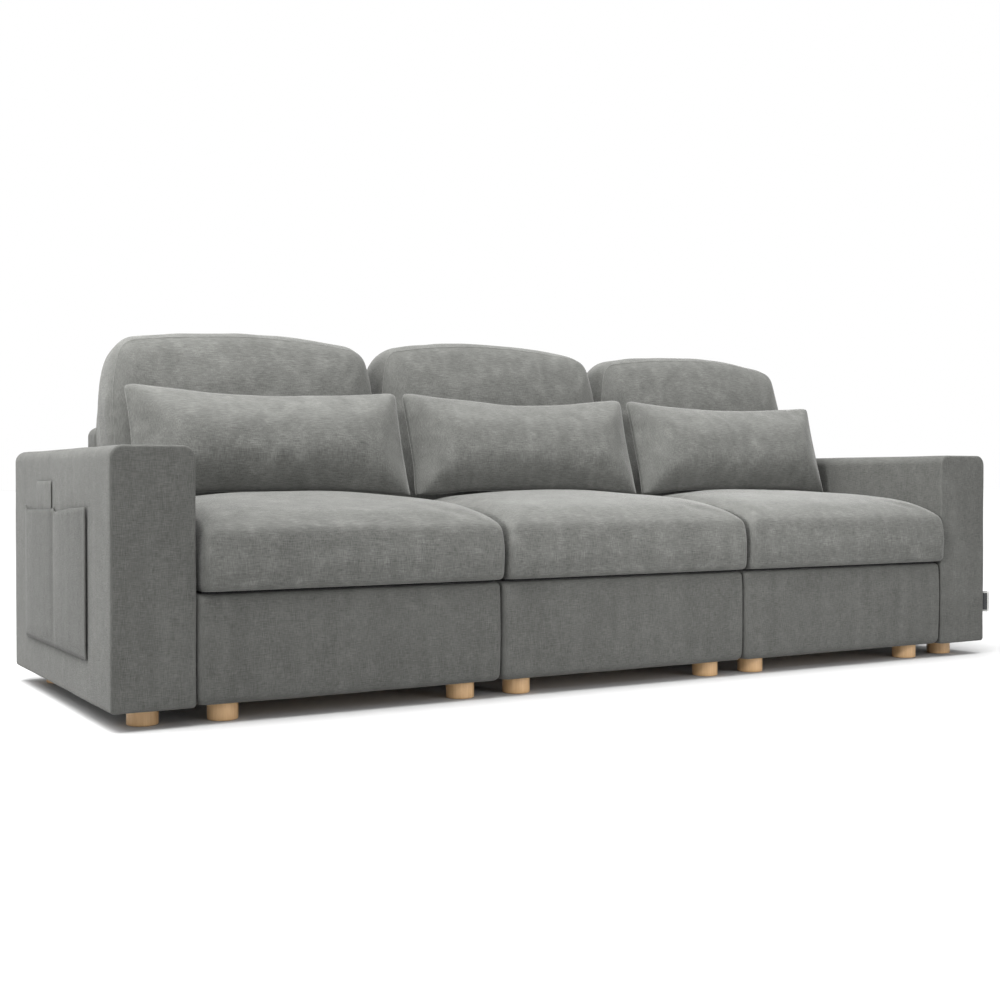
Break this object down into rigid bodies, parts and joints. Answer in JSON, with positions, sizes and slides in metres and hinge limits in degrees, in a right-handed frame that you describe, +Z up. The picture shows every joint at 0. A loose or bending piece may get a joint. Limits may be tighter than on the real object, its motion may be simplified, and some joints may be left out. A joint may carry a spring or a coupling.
{
  "type": "modular sofa",
  "caption": "Modular fabric sofa with storage under lift-off seats, raked backs, arched back cushions, lumbar pillows, block arms, an arm-side pocket and short round wooden feet.",
  "frame": {"origin": "centre of the footprint, on the floor under the feet", "axes": "+X along the sofa towards the right arm as the front is seen, -Y out of the front, +Z up"},
  "size_m": [2.473, 0.8604, 0.8553],
  "materials": {
    "grey_fabric": "short mottled pile with a soft sheen",
    "tag_fabric": "woven charcoal tape with a pale edge line, blank",
    "board_lining": "thin black non-woven cloth stapled over a board",
    "beech": "clear satin varnish",
    "plywood": "bare sanded board",
    "zinc_steel": "dull zinc plate"
  },
  "bodies": {
    "middle_module": {"middle_base_cover": "grey_fabric", "middle_base_bottom": "plywood", "middle_base_box": "plywood", "middle_base_deck": "plywood", "middle_feet": "beech", "middle_foot_bolts": "zinc_steel", "middle_back_frame": "plywood", "middle_back_cover": "grey_fabric", "middle_back_plates": "zinc_steel", "middle_back_cushion": "grey_fabric", "middle_module_catches": "zinc_steel"},
    "left_module": {"left_base_cover": "grey_fabric", "left_base_bottom": "plywood", "left_base_box": "plywood", "left_base_deck": "plywood", "left_feet": "beech", "left_foot_bolts": "zinc_steel", "left_back_frame": "plywood", "left_back_cover": "grey_fabric", "left_back_plates": "zinc_steel", "left_back_cushion": "grey_fabric", "left_module_catches": "zinc_steel", "left_module_tongues": "zinc_steel"},
    "right_module": {"right_base_cover": "grey_fabric", "right_base_bottom": "plywood", "right_base_box": "plywood", "right_base_deck": "plywood", "right_feet": "beech", "right_foot_bolts": "zinc_steel", "right_back_frame": "plywood", "right_back_cover": "grey_fabric", "right_back_plates": "zinc_steel", "right_back_cushion": "grey_fabric", "right_module_catches": "zinc_steel", "right_module_tongues": "zinc_steel"},
    "left_arm": {"left_arm_cover": "grey_fabric", "left_arm_frame": "plywood", "left_arm_feet": "beech", "left_arm_foot_bolts": "zinc_steel", "left_arm_tongues": "zinc_steel", "side_pocket": "grey_fabric", "slip_pocket": "grey_fabric"},
    "right_arm": {"right_arm_cover": "grey_fabric", "right_arm_frame": "plywood", "right_arm_feet": "beech", "right_arm_foot_bolts": "zinc_steel", "right_arm_tongues": "zinc_steel", "label_tag": "tag_fabric"},
    "left_seat": {"left_seat_board": "board_lining", "left_seat_cushion": "grey_fabric"},
    "left_pillow": {"left_lumbar_pillow": "grey_fabric"},
    "middle_seat": {"middle_seat_board": "board_lining", "middle_seat_cushion": "grey_fabric"},
    "middle_pillow": {"middle_lumbar_pillow": "grey_fabric"},
    "right_seat": {"right_seat_board": "board_lining", "right_seat_cushion": "grey_fabric"},
    "right_pillow": {"right_lumbar_pillow": "grey_fabric"}
  },
  "joints": [
    {"name": "left_module_slide", "type": "slide", "parent": "middle_module", "child": "left_module", "axis": [-1, 0, 0], "range_m": [0, 0.1]},
    {"name": "left_arm_slide", "type": "slide", "parent": "left_module", "child": "left_arm", "axis": [-1, 0, 0], "range_m": [0, 0.1]},
    {"name": "right_module_slide", "type": "slide", "parent": "middle_module", "child": "right_module", "axis": [1, 0, 0], "range_m": [0, 0.1]},
    {"name": "right_arm_slide", "type": "slide", "parent": "right_module", "child": "right_arm", "axis": [1, 0, 0], "range_m": [0, 0.1]},
    {"name": "left_seat_lift", "type": "slide", "parent": "left_module", "child": "left_seat", "axis": [0, 0, 1], "range_m": [0, 0.35]},
    {"name": "left_pillow_lift", "type": "slide", "parent": "left_seat", "child": "left_pillow", "axis": [0, 0, 1], "range_m": [0, 0.35]},
    {"name": "middle_seat_lift", "type": "slide", "parent": "middle_module", "child": "middle_seat", "axis": [0, 0, 1], "range_m": [0, 0.35]},
    {"name": "middle_pillow_lift", "type": "slide", "parent": "middle_seat", "child": "middle_pillow", "axis": [0, 0, 1], "range_m": [0, 0.35]},
    {"name": "right_seat_lift", "type": "slide", "parent": "right_module", "child": "right_seat", "axis": [0, 0, 1], "range_m": [0, 0.35]},
    {"name": "right_pillow_lift", "type": "slide", "parent": "right_seat", "child": "right_pillow", "axis": [0, 0, 1], "range_m": [0, 0.35]}
  ]
}
